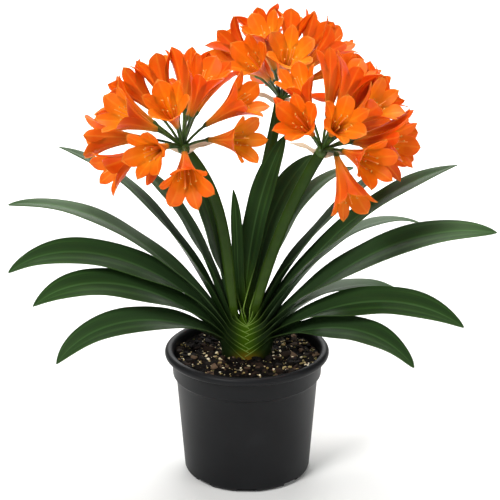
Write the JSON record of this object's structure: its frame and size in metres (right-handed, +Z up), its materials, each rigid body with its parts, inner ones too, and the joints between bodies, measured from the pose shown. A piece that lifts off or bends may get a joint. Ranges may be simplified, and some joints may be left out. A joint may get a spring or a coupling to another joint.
{
  "type": "clivia in flower, in its nursery pot",
  "caption": "Flowering clivia with a fan of strap leaves and orange umbels of funnel blooms, rooted in soil in a plain black nursery pot.",
  "frame": {"origin": "centre of the pot's flat underside", "axes": "+Z up, -Y the side the flowers face, +X to the right seen from that side"},
  "size_m": [0.5456, 0.3354, 0.527],
  "materials": {
    "pot": "satin",
    "soil": "matte",
    "leaf": "satin",
    "crown": "satin",
    "scape": "satin",
    "bloom": "satin"
  },
  "bodies": {
    "root": {"pot": "pot", "soil": "soil", "crown": "crown", "leaf_left_1": "leaf", "leaf_left_2": "leaf", "leaf_left_3": "leaf", "leaf_left_4": "leaf", "leaf_left_5": "leaf", "leaf_left_6": "leaf", "leaf_left_7": "leaf", "leaf_centre_1": "leaf", "leaf_centre_2": "leaf", "leaf_right_1": "leaf", "leaf_right_2": "leaf", "leaf_right_3": "leaf", "leaf_right_4": "leaf", "leaf_right_5": "leaf", "leaf_right_6": "leaf", "leaf_right_7": "leaf", "leaf_right_8": "leaf", "leaf_right_9": "leaf", "scape_left": "scape", "umbel_left": "bloom", "scape_rear": "scape", "umbel_rear": "bloom", "scape_right": "scape", "umbel_right": "bloom"}
  },
  "joints": []
}
